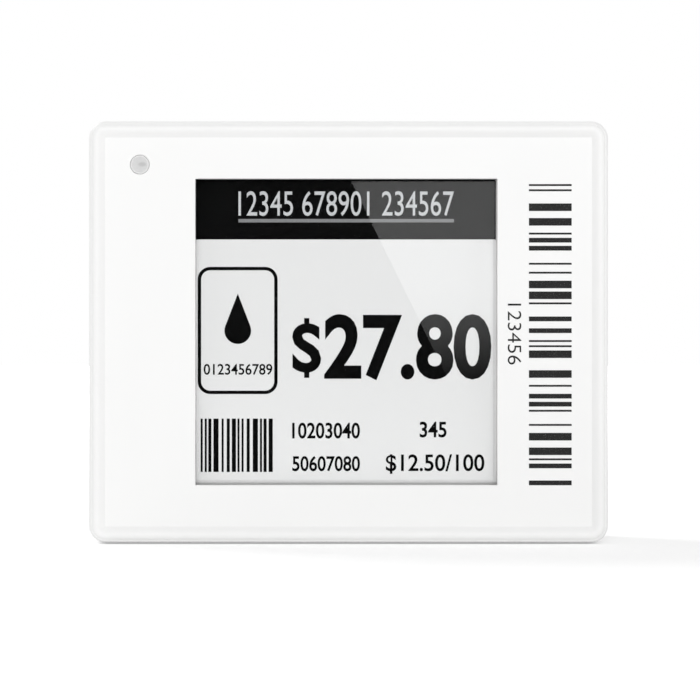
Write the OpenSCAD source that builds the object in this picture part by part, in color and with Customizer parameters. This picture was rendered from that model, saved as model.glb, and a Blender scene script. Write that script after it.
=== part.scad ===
// Electronic shelf label with a square e-paper display, sealed against splashes.
// The display looks along -Y, the label hangs on a shelf rail by two grooves, and the origin is
// the centre of its back face. +X is to the right as seen from the front, +Z is up.

/* [Display module] */
// Width of the pixel area
active_w = 27.6; // [24:0.1:32]
// Height of the pixel area
active_h = 27.6; // [24:0.1:32]
// Glass beyond the pixels at the left, the top and the bottom
glass_border = 2.1; // [1.6:0.1:3]
// Glass beyond the pixels at the right, where the driver chip and the tail are bonded
driver_border = 7.6; // [6.8:0.1:9]
// Thickness of the glass backplane
glass_t = 0.7; // [0.5:0.05:1]
// Thickness of the e-paper film on the glass
laminate_t = 0.35; // [0.25:0.05:0.6]
// Film beyond the pixels on each side
laminate_border = 1.1; // [0.8:0.1:1.4]

/* [Window] */
// Window beyond the pixels at the right
window_right = 0.2; // [0.1:0.1:0.8]
// Window beyond the pixels at the bottom
window_bottom = 0.6; // [0.1:0.1:0.8]
// Chamfer round the lens
lens_chamfer = 0.15; // [0.1:0.05:0.45]
// Width of the hidden flange round the lens
lens_flange_w = 1.3; // [1:0.1:1.6]
// Thickness of the lens flange
lens_flange_t = 0.5; // [0.4:0.05:0.8]

/* [Housing] */
// Distance from the glass to the outside of the housing at the left
margin_left = 7.8; // [7.2:0.1:10]
// Distance from the glass to the outside of the housing at the right
margin_right = 2.9; // [2.8:0.1:4]
// Distance from the glass to the outside of the housing at the top
margin_top = 3.3; // [3.2:0.1:5]
// Distance from the glass to the outside of the housing at the bottom
margin_bottom = 3.9; // [3.2:0.1:5]
// Radius of the corners as seen from the front
corner_r = 1.7; // [1.7:0.1:2.4]
// Thickness of the side walls
wall_t = 1.5; // [1.3:0.05:1.6]
// Thickness of the front wall round the window
front_wall_t = 1.0; // [0.9:0.1:1.6]
// Thickness of the back wall
back_wall_t = 1.6; // [1.4:0.1:2.2]
// Radius of the edge round the back
back_edge_r = 0.8; // [0.4:0.1:1.2]

/* [Front rim] */
// Width of the raised rim, from the outside to the flat face
rim_w = 1.6; // [1.3:0.05:1.65]
// Height of the rim above the flat face
rim_h = 0.4; // [0.3:0.05:0.6]
// Distance of the top of the rim from the outside
rim_crest = 0.85; // [0.7:0.05:1]
// Distance of the step in the rim from the outside
rim_step = 0.42; // [0.3:0.02:0.5]
// Depth of that step below the top of the rim
rim_step_h = 0.25; // [0.15:0.05:0.35]
// Depth over which the edge rounds over from the step to the side
edge_h = 0.5; // [0.3:0.05:0.8]
// Lean of the front cover's side walls, from the parting line to the rounded edge
side_draft = 0.1; // [0.05:0.05:0.2]

/* [Status light] */
// Diameter of the light pipe in the front face
pipe_d = 1.8; // [1.4:0.1:2.2]
// Distance of the light pipe from the left of the housing
pipe_from_left = 4.8; // [4.6:0.1:5.2]
// Distance of the light pipe from the top of the housing
pipe_from_top = 4.1; // [4:0.1:4.6]

/* [Coin cell] */
// Diameter of the coin cell
cell_d = 24.5; // [20:0.5:26]
// Thickness of the coin cell
cell_t = 5.0; // [4.9:0.1:5.6]

/* [Battery cap] */
// Thickness of the cap over the cell
cap_t = 1.8; // [1.6:0.1:2.4]
// Depth of the cap's face below the back of the label
cap_sink = 0.25; // [0.15:0.05:0.4]
// Thickness of the cap's flange
cap_flange_t = 0.8; // [0.6:0.1:1]
// Width of the flange beyond the bore
cap_flange_w = 0.9; // [0.7:0.1:1.2]
// Thickness of the O-ring's cord
ring_d = 1.0; // [0.8:0.1:1.1]
// Thickness of the skirt round the cell
skirt_t = 0.8; // [0.7:0.1:1]
// Reach of each bayonet lug beyond the skirt
lug_reach = 0.7; // [0.5:0.1:0.9]
// Width of the coin slot
slot_w = 2.0; // [1.6:0.1:2.6]
// Length of the coin slot
slot_l = 19.0; // [16:0.5:21]
// Depth of the coin slot
slot_depth = 0.9; // [0.7:0.1:1.1]
// Chamfer round the cap, its recess and its slot
cap_edge = 0.2; // [0.1:0.05:0.3]

/* [Shelf rail] */
// Width of the grooves that the rail's lips enter
rail_gap = 1.6; // [1.3:0.1:1.9]
// Depth of the grooves
rail_depth = 1.3; // [1:0.1:1.6]
// Thickness of the housing's lip behind each groove
rail_lip = 2.0; // [1.7:0.1:2.4]
// Thickness of the wall under each groove
rail_web = 1.3; // [1:0.1:1.6]

/* [Circuit board] */
// Thickness of the board
board_t = 0.8; // [0.6:0.1:1]
// Thickness of the carrier between the board and the display
carrier_t = 1.0; // [1:0.05:1.3]
// Thickness of the foam behind the glass
foam_t = 0.5; // [0.4:0.05:0.8]
// Width of the part of the board that the battery bay leaves free
parts_zone = 14.0; // [13.6:0.1:16]
// Diameter of the carrier's screw bosses
boss_d = 3.4; // [3:0.1:3.6]
// Thread diameter of the two board screws
screw_d = 1.4; // [1.2:0.1:1.6]
// Head diameter of the two board screws
screw_head_d = 2.8; // [2.4:0.1:3.2]

/* [Hidden] */

$fn = 64;
arc_steps = 8;
// Overrun of every cut past the face that it opens
cut = 0.5;

// Tapes, gaps and fits
tape_t = 0.15;
tape_inset = 0.15;
film_gap = 0.1;
fit_gap = 0.1;
board_gap = 0.3;
lens_gap = 0.06;

// Depths, from the back face at 0 towards the front
cap_face_y = -cap_sink;
cell_back_y = cap_face_y - cap_t;
cell_front_y = cell_back_y - cell_t;
contact_h = 0.8;
board_back_y = cell_front_y - contact_h;
board_front_y = board_back_y - board_t;
carrier_front_y = board_front_y - carrier_t;
glass_back_y = carrier_front_y - foam_t;
glass_front_y = glass_back_y - glass_t;
film_front_y = glass_front_y - laminate_t;
flange_back_y = film_front_y - film_gap;
flange_front_y = flange_back_y - lens_flange_t;
wall_in_y = flange_front_y - tape_t;
face_y = wall_in_y - front_wall_t;
front_y = face_y - rim_h;
part_y = board_back_y;

// Radii of the battery bay and its cap
cell_r = cell_d / 2;
cell_gap = 0.2;
skirt_in_r = cell_r + cell_gap;
skirt_r = skirt_in_r + skirt_t;
lug_r = skirt_r + lug_reach;
bore_gap = 0.15;
bore_r = lug_r + bore_gap;
plug_r = bore_r - bore_gap;
ring_gap = 0.03;
ring_floor_r = bore_r - ring_gap - ring_d;
flange_r = bore_r + cap_flange_w;
recess_r = flange_r + 2 * fit_gap;
bay_wall = 1.2;
bay_r = bore_r + bay_wall;
guide_share = 0.35;
guide_r = cell_r + guide_share * skirt_t + fit_gap / 2;
bay_merge = 0.4;

// Depths of the bayonet, from the back face towards the front
seat_gap = 0.05;
ring_side = 0.3;
seat_y = cap_face_y - cap_flange_t - seat_gap;
groove_top_y = cap_face_y - cap_flange_t - ring_side;
groove_end_y = groove_top_y - ring_d - 2 * fit_gap;
plug_end_y = groove_end_y - ring_side;
ledge_t = 0.8;
lug_t = 0.8;
ledge_top_y = plug_end_y - fit_gap;
ledge_end_y = ledge_top_y - ledge_t;
lug_top_y = ledge_end_y - fit_gap;
lug_end_y = lug_top_y - lug_t;
bore_end_y = lug_end_y - 2 * fit_gap;
lug_count = 3;
lug_angle = 40;
stop_angle = 18;
stop_play = 1;
lug_clear_angle = 5;
// Turn from locked, against one stop, to unlocked, against the next
cap_turn = 360 / lug_count - lug_angle - stop_angle - 2 * stop_play;
ledge_angle = cap_turn - lug_angle / 2 - lug_clear_angle;

// Overall size and the places that follow from it
glass_w = glass_border + active_w + driver_border;
glass_h = active_h + 2 * glass_border;
rail_stem = 2.0;
body_w = max(margin_left + glass_w + margin_right, 2 * wall_t + parts_zone + 2 * bay_r - bay_merge);
body_h = max(margin_top + glass_h + margin_bottom, 2 * (recess_r + rail_stem + rail_depth));
inner_w = body_w - 2 * wall_t;
inner_h = body_h - 2 * wall_t;
glass_left = -body_w / 2 + margin_left;
glass_top = body_h / 2 - margin_top;
glass_z = glass_top - glass_h / 2;
active_x = glass_left + glass_border + active_w / 2;
active_z = glass_top - glass_border - active_h / 2;
// The pixels start at the window's left and top edges
window_w = active_w + window_right;
window_h = active_h + window_bottom;
window_x = active_x + window_right / 2;
window_z = active_z - window_bottom / 2;
pipe_x = -body_w / 2 + pipe_from_left;
pipe_z = body_h / 2 - pipe_from_top;
bay_x = body_w / 2 - wall_t - bay_r + bay_merge;
bay_z = 0;
board_w = inner_w - 2 * board_gap;
board_h = inner_h - 2 * board_gap;
board_left = -board_w / 2;
board_right = board_w / 2;
board_top = board_h / 2;

// Joint between the covers
lip_t = 0.7;
tongue_l = 1.05;
gasket_t = 0.5;
tongue_r = corner_r - lip_t;
inner_r = 0.4;
snap_l = 5.0;
snap_out = 0.3;
snap_t = 0.5;
snap_share = 0.55;

// Posts of the rear cover that hold the board down
post_r = 1.0;
post_inset = 1.9;
post_x = inner_w / 2 - post_inset;
post_z = inner_h / 2 - post_inset;

// Light pipe and its light
pipe_flange_d = 3.0;
pipe_flange_t = 0.6;
pipe_dome = 0.08;
pipe_gap = 0.02;
led_w = 1.6;
led_h = 0.8;
led_t = 0.6;
led_gap = 0.15;
pipe_hole_gap = 0.4;

// Ribs of the front cover round the glass
rib_t = 0.8;
rib_gap = 0.05;

// Display tail and its connector
tail_t = 0.12;
tail_w = 12.5;
tail_bond_w = 20.0;
tail_bond_l = 1.6;
tail_out = 0.15;
stiffener_t = 0.15;
stiffener_l = 3.0;
socket_h = 0.95;
socket_l = 4.2;
socket_end = 1.65;
socket_w = tail_w + 2 * socket_end;
socket_from_right = 3.5;
socket_entry = 3.4;
socket_play = 0.04;
socket_x1 = glass_left + glass_w - socket_from_right;
socket_x0 = socket_x1 - socket_l;
tail_y = board_front_y - socket_h / 2;
bend_x = glass_left + glass_w + tail_out;
bend_front_y = glass_front_y - tail_t / 2;
bend_y = (bend_front_y + tail_y) / 2;
bend_r = (tail_y - bend_front_y) / 2;
tail_end_share = 0.4;
tail_end_x = socket_x1 - tail_end_share * socket_l;
chip_w = 1.2;
chip_l = 12.0;
chip_t = 0.3;
chip_share = 0.5;
slider_travel = 1.0;
slider_bar = 0.9;
slider_arm = 0.45;
slider_t = 0.2;
slider_reach = 2.6;
pin_pitch = 0.5;
pin_count = floor(tail_w / pin_pitch) - 1;
pin_w = 0.2;
pin_t = 0.1;
pin_foot = 0.7;

// Places on the board, from its left edge and its top edge
screw_from_left = 2.2;
screw_drops = [7.2, 29.2];
screw_l = 3.4;
screw_head_t = 0.7;
screw_slot_w = 0.35;
pilot_share = 0.8;
hole_gap = 0.15;
clip_w = 4.0;
clip_t = 0.6;
clip_nose = 0.5;
clip_h = 0.6;
clip_drop = 5.2;
clip_z = board_top - clip_drop;
clip_x1 = board_right - fit_gap;
clip_x0 = clip_x1 - clip_t;

radio_place = [6.6, 14.0];
radio_size = 5.0;
radio_t = 0.85;
memory_place = [6.6, 22.5];
memory_size = [3.0, 4.0];
memory_t = 0.7;
crystal_places = [[6.6, 9.4], [11.2, 9.4]];
crystal_size = [2.5, 2.0];
crystal_t = 0.6;
coil_place = [9.0, 28.0];
coil_size = 3.0;
coil_t = 1.2;
diode_places = [[5.0, 26.6], [5.0, 28.6], [5.0, 30.6]];
diode_size = [2.6, 1.4];
diode_t = 1.0;
small_size = [1.0, 0.5];
small_t = 0.45;
small_columns = [11.2, 12.6];
small_first = 12.0;
small_pitch = 1.5;
small_count = 8;
antenna_t = 0.1;
antenna_w = 0.6;
antenna_reach = 12.0;
antenna_fold = 1.6;
antenna_folds = 3;
antenna_inset = 0.6;

// Contacts of the coin cell
leaf_t = 0.2;
leaf_w = 4.0;
leaf_l = 9.0;
leaf_gap = 3.0;
leaf_foot = 3.0;
side_w = 5.0;
side_foot = 2.0;
side_bend = 0.15;
side_top_y = bore_end_y - fit_gap;
notch_w = side_w + 4 * fit_gap;

// Coin cell
can_t = 0.3;
can_edge = 0.3;
lid_share = 0.86;
lid_step = 0.2;
lid_t = 0.3;
seal_w = 0.5;

// Marks beside the cap and label on the back
mark_r = 0.55;
mark_depth = 0.2;
mark_gap = 0.7;
mark_ring = 0.25;
label_w = 11.0;
label_h = 25.0;
label_t = 0.1;
label_sink = 0.15;
label_gap = 0.1;
label_r = 0.8;
label_inset = 3.0;
label_x = -body_w / 2 + label_inset + label_w / 2;
// Radius of the coin slot's floor, which runs out at the slot's two ends
slot_floor_r = (pow(slot_l / 2, 2) + pow(slot_depth, 2)) / (2 * slot_depth);

// A flat shape drawn in X and Z, given depth from y0 to y1
module deep(y0, y1) {
    translate([0, y1, 0]) rotate([90, 0, 0]) linear_extrude(y1 - y0) children();
}

// An outline of [radius, y] points turned about a line along Y, from angle a0 to a1 measured
// from +X towards +Z
module turned(points, a0 = 0, a1 = 360) {
    rotate([90, 0, 0]) rotate([0, 0, a0]) rotate_extrude(angle = a1 - a0)
        polygon([for (p = points) [p.x, -p.y]]);
}

module disc(r, y0, y1) {
    translate([0, y1, 0]) rotate([90, 0, 0]) cylinder(r = r, h = y1 - y0);
}

module ring(r0, r1, y0, y1, a0 = 0, a1 = 360) {
    turned([[r0, y0], [r1, y0], [r1, y1], [r0, y1]], a0, a1);
}

module box(x0, x1, y0, y1, z0, z1) {
    translate([x0, y0, z0]) cube([x1 - x0, y1 - y0, z1 - z0]);
}

// A box that is centred on z
module bar(x0, x1, y0, y1, width, z = 0) {
    box(x0, x1, y0, y1, z - width / 2, z + width / 2);
}

module round_rect(w, h, r) {
    square([w - 2 * r, h], center = true);
    square([w, h - 2 * r], center = true);
    for (sx = [-1, 1], sz = [-1, 1])
        translate([sx * (w / 2 - r), sz * (h / 2 - r)]) circle(r);
}

module slab(w, h, r, y0, y1, x = 0, z = 0) {
    translate([x, 0, z]) deep(y0, y1) round_rect(w, h, r);
}

module frame(w, h, r, t, y0, y1, x = 0, z = 0) {
    difference() {
        slab(w, h, r, y0, y1, x, z);
        translate([x, 0, z]) deep(y0 - cut, y1 + cut) square([w - 2 * t, h - 2 * t], center = true);
    }
}

// A block whose edge outline, in [distance from the corner's centre, y], runs round all four
// sides and corners. The middle is filled from y0 to y1.
module edged_block(points, y0, y1) {
    w = body_w - 2 * corner_r;
    h = body_h - 2 * corner_r;
    bar(-w / 2, w / 2, y0, y1, h);
    for (side = [0, 1]) rotate([0, 180 * side, 0]) {
        translate([w / 2, 0, -h / 2]) linear_extrude(h) polygon(points);
        translate([-w / 2, 0, h / 2]) rotate([0, -90, 0]) mirror([0, 0, 1]) linear_extrude(w)
            polygon(points);
        for (up = [0, 1]) mirror([0, 0, up]) translate([w / 2, 0, h / 2]) turned(points, 0, 90);
    }
}

// Outline of the front cover's edge: the flat face, the rise to the rim, the step and the side
rim_points = concat(
    [[0, part_y], [0, face_y]],
    [for (i = [0:arc_steps]) let (a = 90 * i / arc_steps)
        [corner_r - rim_w + (rim_w - rim_crest) * i / arc_steps, face_y - rim_h * sin(a)]],
    [for (i = [1:arc_steps]) let (a = 90 * i / arc_steps)
        [corner_r - rim_crest + (rim_crest - rim_step) * sin(a), front_y + rim_step_h * (1 - cos(a))]],
    [for (i = [1:arc_steps]) let (a = 90 * i / arc_steps)
        [corner_r - rim_step + (rim_step - side_draft) * sin(a),
            front_y + rim_step_h + edge_h * (1 - cos(a))]],
    [[corner_r, part_y]]);

// Outline of the rear cover's edge, rounded towards the back
back_points = concat(
    [[0, part_y], [corner_r, part_y]],
    [for (i = [0:arc_steps]) let (a = 90 * i / arc_steps)
        [corner_r - back_edge_r * (1 - cos(a)), -back_edge_r * (1 - sin(a))]],
    [[0, 0]]);

module snap_bumps(grow) {
    for (sx = [-1, 1], sz = [-1, 1])
        translate([sx * snap_share * inner_w / 2, 0, sz * (body_h / 2 - lip_t)])
            bar(-snap_l / 2 - grow, snap_l / 2 + grow, part_y - tongue_l + snap_t - grow,
                part_y - tongue_l + 2 * snap_t + grow, 2 * (snap_out + grow));
}

module front_cover() {
    color("white") {
        difference() {
            edged_block(rim_points, face_y, part_y);
            slab(inner_w, inner_h, inner_r, wall_in_y, part_y + cut);
            slab(body_w - 2 * lip_t, body_h - 2 * lip_t, tongue_r, part_y - tongue_l - gasket_t,
                part_y + cut);
            bar(window_x - window_w / 2, window_x + window_w / 2, face_y - cut, wall_in_y + cut,
                window_h, window_z);
            translate([pipe_x, 0, pipe_z]) disc(pipe_d / 2, face_y - cut, wall_in_y + cut);
            snap_bumps(fit_gap / 2);
        }
        glass_ribs();
    }
}

// Ribs inside the front cover that hold the glass on three sides
module glass_ribs() {
    left = glass_left - rib_gap;
    right = glass_left + glass_w - driver_border;
    top = glass_top + rib_gap;
    bottom = glass_top - glass_h - rib_gap;
    box(left - rib_t, left, wall_in_y, glass_back_y, bottom, top);
    for (z = [bottom - rib_t, top])
        box(left - rib_t, right, wall_in_y, glass_back_y, z, z + rib_t);
}

// Clear stepped lens: a plateau that fills the window and a flange behind the wall
module display_lens() {
    w = window_w - 2 * lens_gap;
    h = window_h - 2 * lens_gap;
    shoulder_y = face_y + lens_chamfer;
    color("lightcyan", 0.4) translate([window_x, 0, window_z]) {
        bar(-w / 2, w / 2, shoulder_y, flange_front_y, h);
        bar(-w / 2 - lens_flange_w, w / 2 + lens_flange_w, flange_front_y, flange_back_y,
            h + 2 * lens_flange_w);
        lens_bevel(w, h, shoulder_y);
    }
}

// The bevelled top of the lens: two crossed prisms whose common part slopes on all four sides
module lens_bevel(w, h, shoulder_y) {
    top_y = shoulder_y - lens_chamfer;
    intersection() {
        translate([0, 0, -h / 2]) linear_extrude(h)
            polygon([[-w / 2, shoulder_y], [-w / 2 + lens_chamfer, top_y],
                [w / 2 - lens_chamfer, top_y], [w / 2, shoulder_y]]);
        rotate([0, -90, 0]) translate([0, 0, -w / 2]) linear_extrude(w)
            polygon([[-h / 2, shoulder_y], [-h / 2 + lens_chamfer, top_y],
                [h / 2 - lens_chamfer, top_y], [h / 2, shoulder_y]]);
    }
}

module lens_tape() {
    w = window_w + 2 * lens_flange_w - 2 * tape_inset;
    h = window_h + 2 * lens_flange_w - 2 * tape_inset;
    color("white") frame(w, h, tape_inset, lens_flange_w - 2 * tape_inset, wall_in_y,
        flange_front_y, window_x, window_z);
}

// Frosted rod that carries the light to the front face, held by a flange behind the wall
module light_pipe() {
    r = pipe_d / 2 - pipe_gap;
    end_y = board_front_y - led_t - led_gap;
    color("gainsboro") translate([pipe_x, 0, pipe_z]) {
        turned([[0, face_y], [r - pipe_dome, face_y], [r, face_y + pipe_dome], [r, end_y],
            [0, end_y]]);
        disc(pipe_flange_d / 2, wall_in_y, wall_in_y + pipe_flange_t);
    }
}

module display_gasket() {
    t = laminate_border - tape_inset;
    color("gainsboro") frame(active_w + 2 * laminate_border, active_h + 2 * laminate_border, tape_inset,
        t, flange_back_y, film_front_y, active_x, active_z);
}

module epaper_film() {
    color("whitesmoke") bar(active_x - active_w / 2 - laminate_border,
        active_x + active_w / 2 + laminate_border, film_front_y, glass_front_y,
        active_h + 2 * laminate_border, active_z);
}

module display_glass() {
    color("lightsteelblue") bar(glass_left, glass_left + glass_w, glass_front_y, glass_back_y,
        glass_h, glass_z);
}

module driver_chip() {
    free = driver_border - laminate_border - tail_bond_l;
    x = active_x + active_w / 2 + laminate_border + chip_share * free;
    color("darkslategray") bar(x - chip_w / 2, x + chip_w / 2, glass_front_y - chip_t,
        glass_front_y, chip_l, active_z);
}

// Flexible tail: bonded to the front of the glass, bent round its edge, plugged in behind it
module display_tail() {
    bond_x = glass_left + glass_w - tail_bond_l;
    color("darkorange") {
        bar(bond_x, glass_left + glass_w, glass_front_y - tail_t, glass_front_y, tail_bond_w,
            active_z);
        bar(bond_x, bend_x, bend_front_y - tail_t / 2, bend_front_y + tail_t / 2, tail_w, active_z);
        bar(tail_end_x, bend_x, tail_y - tail_t / 2, tail_y + tail_t / 2, tail_w, active_z);
        translate([bend_x, bend_y, active_z - tail_w / 2]) rotate([0, 0, -90])
            rotate_extrude(angle = 180) translate([bend_r - tail_t / 2, 0]) square([tail_t, tail_w]);
    }
}

module tail_stiffener() {
    color("royalblue") bar(socket_x1 + socket_play, socket_x1 + stiffener_l, tail_y + tail_t / 2,
        tail_y + tail_t / 2 + stiffener_t, tail_w, active_z);
}

module foam_pad() {
    right = glass_left + glass_w - tail_bond_l;
    left = glass_left + rib_t;
    color("dimgray") difference() {
        bar(left, right, glass_back_y, carrier_front_y, glass_h - 2 * rib_t, glass_z);
        bar(socket_x0 - rib_t, right + cut, glass_back_y - cut, carrier_front_y + cut,
            socket_w + 2 * rib_t, active_z);
    }
}

module screw_places() {
    for (drop = screw_drops)
        translate([board_left + screw_from_left, 0, board_top - drop]) children();
}

module clip_places() {
    for (up = [0, 1]) mirror([0, 0, up]) translate([0, 0, clip_z]) children();
}

// Plate between the display and the board, with screw bosses and two clips for the board
module carrier_frame() {
    boss_front_y = wall_in_y + fit_gap;
    arms = socket_w + 2 * slider_arm + 6 * fit_gap;
    color("silver") {
        difference() {
            union() {
                slab(board_w, board_h, inner_r, carrier_front_y, board_front_y);
                screw_places() disc(boss_d / 2, boss_front_y, board_front_y);
            }
            screw_places() disc(pilot_share * screw_d / 2, boss_front_y - cut, board_front_y + cut);
            translate([pipe_x, 0, pipe_z]) disc(pipe_d / 2 + pipe_hole_gap, carrier_front_y - cut,
                board_front_y + cut);
            bar(socket_x0 - pin_foot - pipe_hole_gap, socket_x1 + slider_bar + slider_travel + tail_out,
                carrier_front_y - cut, board_front_y + cut, arms, active_z);
            bar(socket_x1, board_right + cut, carrier_front_y - cut, board_front_y + cut,
                tail_w + 6 * fit_gap, active_z);
        }
        clip_places() {
            bar(clip_x0, clip_x1, carrier_front_y, board_back_y + seat_gap + clip_h, clip_w);
            bar(clip_x0 - clip_nose, clip_x0, board_back_y + seat_gap,
                board_back_y + seat_gap + clip_h, clip_w);
        }
    }
}

module main_board() {
    color("darkgreen") difference() {
        slab(board_w, board_h, inner_r, board_front_y, board_back_y);
        screw_places() disc(screw_d / 2 + hole_gap, board_front_y - cut, board_back_y + cut);
        clip_places() bar(clip_x0 - fit_gap, board_right + cut, board_front_y - cut,
            board_back_y + cut, clip_w + 4 * fit_gap);
    }
}

// Two small screws with slotted pan heads
module board_screws() {
    head_y = board_back_y + screw_head_t;
    color("lightgray") screw_places() difference() {
        union() {
            disc(pilot_share * screw_d / 2, board_back_y - screw_l, board_back_y);
            turned([[0, board_back_y], [screw_head_d / 2, board_back_y],
                [screw_head_d / 2, head_y - screw_slot_w], [screw_head_d / 2 - screw_slot_w, head_y],
                [0, head_y]]);
        }
        bar(-screw_head_d, screw_head_d, head_y - screw_slot_w, head_y + cut, screw_slot_w);
    }
}

// Housing of the tail's connector, open towards the right
module tail_connector() {
    top_y = board_front_y - socket_h;
    color("ivory") difference() {
        bar(socket_x0, socket_x1, top_y, board_front_y, socket_w, active_z);
        bar(socket_x1 - socket_entry, socket_x1 + cut, tail_y - tail_t / 2 - slider_t - 2 * socket_play,
            tail_y + tail_t / 2 + pin_t + socket_play, tail_w + 2 * fit_gap, active_z);
    }
}

module connector_pins() {
    blade_y = tail_y + tail_t / 2 + socket_play;
    color("gold") for (i = [0:pin_count - 1]) {
        z = active_z + (i - (pin_count - 1) / 2) * pin_pitch;
        bar(socket_x0 - pin_foot, socket_x0, board_front_y - pin_t, board_front_y, pin_w, z);
        bar(socket_x1 - socket_entry, socket_x1 - socket_play, blade_y, blade_y + pin_t, pin_w, z);
    }
}

// Slider that locks the tail: pulled out by its travel, it lets the tail go
module connector_slider() {
    blade_back_y = tail_y - tail_t / 2 - socket_play;
    arm_z = socket_w / 2 + socket_play;
    color("saddlebrown") {
        bar(socket_x1 - slider_reach, socket_x1 + socket_play, blade_back_y - slider_t, blade_back_y,
            tail_w, active_z);
        bar(socket_x1 + socket_play, socket_x1 + slider_bar, board_front_y - socket_h, blade_back_y,
            2 * arm_z, active_z);
        for (side = [-1, 1])
            bar(socket_x1 - slider_reach, socket_x1 + slider_bar, board_front_y - socket_h, blade_back_y,
                slider_arm, active_z + side * (arm_z + slider_arm / 2));
    }
}

// A box on the back of the board, centred at a place from the board's left and top edges
module board_part(place, size, height) {
    x = board_left + place.x;
    bar(x - size.x / 2, x + size.x / 2, board_back_y, board_back_y + height, size.y,
        board_top - place.y);
}

module radio_chip() {
    color("darkslategray") board_part(radio_place, [radio_size, radio_size], radio_t);
}

module memory_chip() {
    color("darkslategray") board_part(memory_place, memory_size, memory_t);
}

module crystals() {
    color("silver") for (place = crystal_places) board_part(place, crystal_size, crystal_t);
}

module boost_coil() {
    color("dimgray") board_part(coil_place, [coil_size, coil_size], coil_t);
}

module diodes() {
    color("black") for (place = diode_places) board_part(place, diode_size, diode_t);
}

module small_parts() {
    color("tan") for (column = small_columns, i = [0:small_count - 1])
        board_part([column, small_first + i * small_pitch], small_size, small_t);
}

module status_led() {
    color("white") bar(pipe_x - led_w / 2, pipe_x + led_w / 2, board_front_y - led_t, board_front_y,
        led_h, pipe_z);
}

// Folded copper strip along the board's top left edge
module antenna() {
    x0 = board_left + antenna_inset;
    start_x = -post_x + post_r + 2 * fit_gap;
    z1 = board_top - antenna_inset;
    step = antenna_fold;
    color("goldenrod") {
        bar(start_x, x0 + antenna_reach, board_back_y, board_back_y + antenna_t, antenna_w,
            z1 - antenna_w / 2);
        for (i = [0:antenna_folds])
            translate([x0 + antenna_reach - antenna_w - i * step, 0, 0])
                box(0, antenna_w, board_back_y, board_back_y + antenna_t, z1 - 2 * step, z1);
    }
}

// Two sprung leaves from one foot, pressing on the cell's negative side
module negative_contact() {
    x0 = bay_x - leaf_l / 2 - leaf_foot;
    x1 = x0 + leaf_foot;
    x2 = x1 + leaf_l;
    y0 = board_back_y;
    color("gold") {
        bar(x0, x1, y0, y0 + leaf_t, 2 * leaf_w + leaf_gap, bay_z);
        for (side = [-1, 1])
            translate([0, 0, bay_z + side * (leaf_w + leaf_gap) / 2 - leaf_w / 2])
                linear_extrude(leaf_w) polygon([[x1 - leaf_t, y0], [x1, y0],
                    [x2, cell_front_y - leaf_t], [x2 + 2 * leaf_t, cell_front_y - 2 * leaf_t],
                    [x2 + 3 * leaf_t, cell_front_y - leaf_t], [x2 + leaf_t / 2, cell_front_y],
                    [x2 - leaf_t / 2, cell_front_y], [x1 - leaf_t, y0 + leaf_t]]);
    }
}

// Upright blade that presses on the side of the cell, from a foot on the board
module positive_contact() {
    x = bay_x - cell_r;
    y0 = board_back_y;
    middle_y = (y0 + side_top_y) / 2;
    color("gold") translate([0, 0, bay_z - side_w / 2]) linear_extrude(side_w)
        polygon([[x - side_bend - leaf_t - side_foot, y0], [x - side_bend, y0],
            [x, middle_y - leaf_t / 2], [x, middle_y + leaf_t / 2], [x - side_bend, side_top_y],
            [x - side_bend - leaf_t, side_top_y], [x - leaf_t, middle_y],
            [x - side_bend - leaf_t, y0 + leaf_t],
            [x - side_bend - leaf_t - side_foot, y0 + leaf_t]]);
}

lid_r = lid_share * cell_r;
can_front_y = cell_front_y + lid_step;

// Steel can, open at the front, with its rim turned in over the seal
module cell_can() {
    color("lightgray") translate([bay_x, 0, bay_z]) turned([
        [0, cell_back_y], [cell_r - can_edge, cell_back_y], [cell_r, cell_back_y - can_edge],
        [cell_r, can_front_y + can_edge], [cell_r - can_edge, can_front_y],
        [lid_r + seal_w, can_front_y], [lid_r + seal_w, can_front_y + can_t],
        [cell_r - can_t, can_front_y + can_t], [cell_r - can_t, cell_back_y - can_t],
        [0, cell_back_y - can_t]]);
}

module cell_seal() {
    color("dimgray") translate([bay_x, 0, bay_z])
        ring(lid_r, lid_r + seal_w, can_front_y, can_front_y + can_t + lid_t);
}

// The negative lid: a shallow dish that stands a little proud of the can
module cell_lid() {
    color("lightgray") translate([bay_x, 0, bay_z]) turned([
        [0, cell_front_y], [lid_r - lid_step, cell_front_y], [lid_r, cell_front_y + lid_step],
        [lid_r, can_front_y + lid_t], [0, can_front_y + lid_t]]);
}

module cell_core() {
    color("dimgray") translate([bay_x, 0, bay_z])
        disc(cell_r - can_t, can_front_y + can_t + lid_t, cell_back_y - can_t);
}

module housing_gasket() {
    play = fit_gap / 2;
    color("gray") difference() {
        slab(body_w - 2 * lip_t - 2 * play, body_h - 2 * lip_t - 2 * play, tongue_r,
            part_y - tongue_l - gasket_t, part_y - tongue_l);
        slab(inner_w + 2 * play, inner_h + 2 * play, inner_r, part_y - tongue_l - gasket_t - cut,
            part_y - tongue_l + cut);
    }
}

// Grooves along the top and the bottom for the lips of a shelf rail
module rail_grooves() {
    for (up = [0, 1]) mirror([0, 0, up])
        box(-body_w / 2 - cut, body_w / 2 + cut, -rail_lip - rail_gap, -rail_lip,
            body_h / 2 - rail_depth, body_h / 2 + cut);
}

// Bayonet ledges in the bore, each with a stop for the lugs
module bayonet_ledges() {
    for (i = [0:lug_count - 1]) {
        middle = 90 - i * 360 / lug_count;
        stop_start = middle + lug_angle / 2 + stop_play;
        stop_end = stop_start + stop_angle;
        ring(skirt_r + fit_gap, bore_r + bay_wall / 2, ledge_end_y, ledge_top_y,
            middle - ledge_angle, stop_end - stop_play);
        ring(skirt_r + 2 * fit_gap, bore_r + bay_wall / 3, bore_end_y - fit_gap,
            ledge_top_y - ledge_t / 2, stop_start, stop_end);
    }
}

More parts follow.
